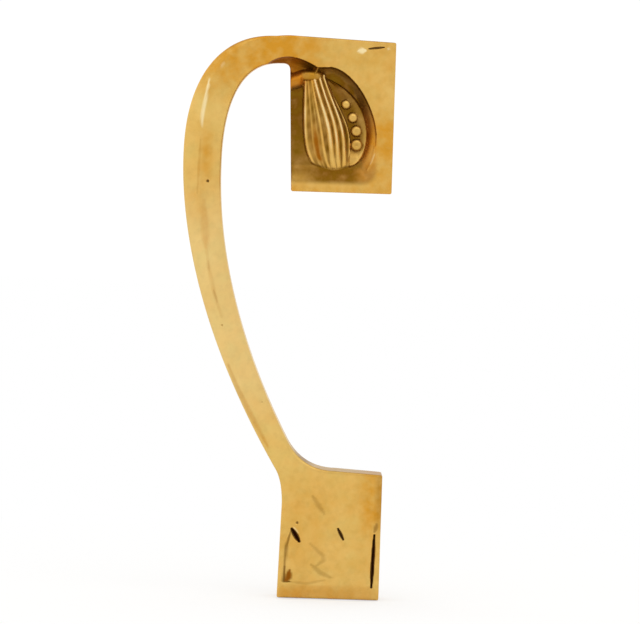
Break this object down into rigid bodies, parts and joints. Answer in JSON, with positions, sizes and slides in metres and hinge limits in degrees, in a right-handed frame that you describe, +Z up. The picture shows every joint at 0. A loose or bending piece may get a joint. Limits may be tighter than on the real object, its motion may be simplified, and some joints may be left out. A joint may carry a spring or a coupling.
{
  "type": "pull handle",
  "caption": "Cast door pull: a bowed bar joins two feet fixed from behind the door; the upper foot has a recessed ribbed seed pod in relief.",
  "frame": {"origin": "on the mounting plane, midway between the two fixing holes", "axes": "+X out of the mounting plane into the door, +Y away from the decorated face, +Z up along the handle"},
  "size_m": [0.0743, 0.016, 0.2],
  "materials": {
    "polished_brass": "hand polished sand casting"
  },
  "bodies": {
    "root": {"handle": "polished_brass"}
  },
  "joints": []
}
